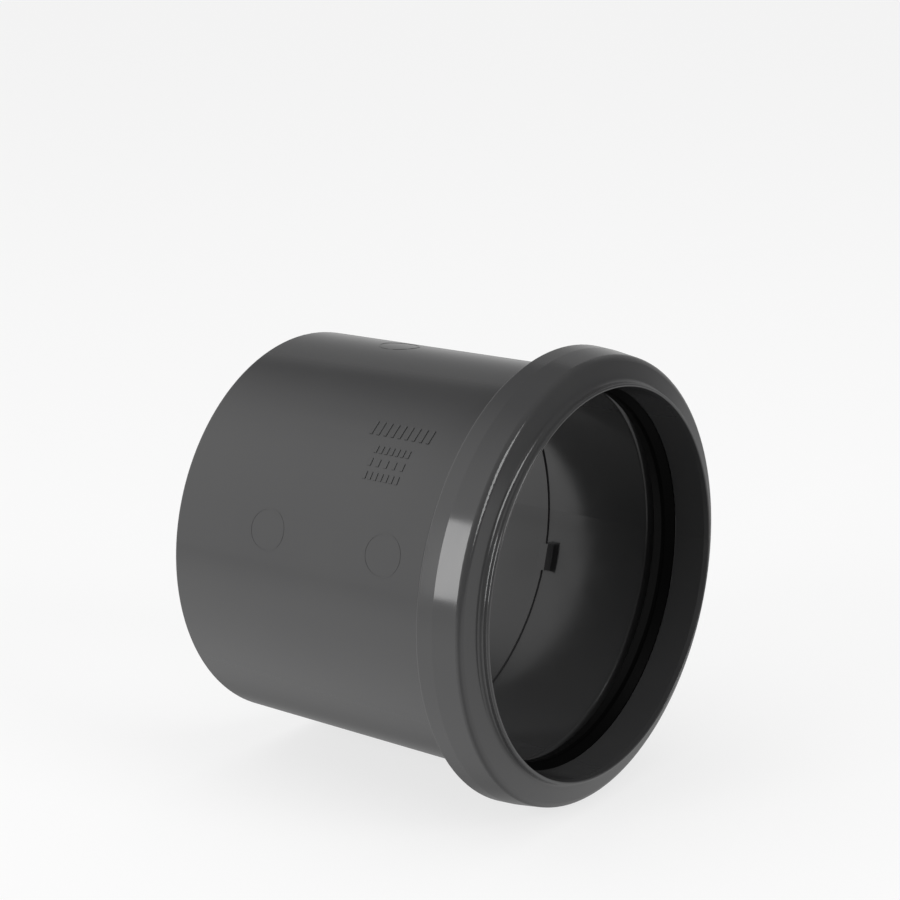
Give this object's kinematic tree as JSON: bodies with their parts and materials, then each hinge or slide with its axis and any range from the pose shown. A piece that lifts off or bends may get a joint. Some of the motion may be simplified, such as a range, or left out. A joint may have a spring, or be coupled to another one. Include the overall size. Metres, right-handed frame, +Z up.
{
  "type": "push fit pipe coupling",
  "caption": "Round soil-pipe coupling: a rubber-sealed push-fit mouth under a snapped-on collar, stop lugs in the bore, and a plain solvent-weld socket behind.",
  "frame": {"origin": "on the axis at the register step, where the push-fit bore meets the solvent-weld socket", "axes": "+X along the axis, out of the push-fit mouth; +Z up"},
  "size_m": [0.1113, 0.1326, 0.1326],
  "materials": {
    "coupler_body": "semi-gloss dark grey PVC-U moulding",
    "seal_retaining_cap": "semi-gloss dark grey PVC-U moulding",
    "ring_seal": "matt black elastomer"
  },
  "bodies": {
    "root": {"coupler_body": "coupler_body", "seal_retaining_cap": "seal_retaining_cap", "ring_seal": "ring_seal"}
  },
  "joints": []
}
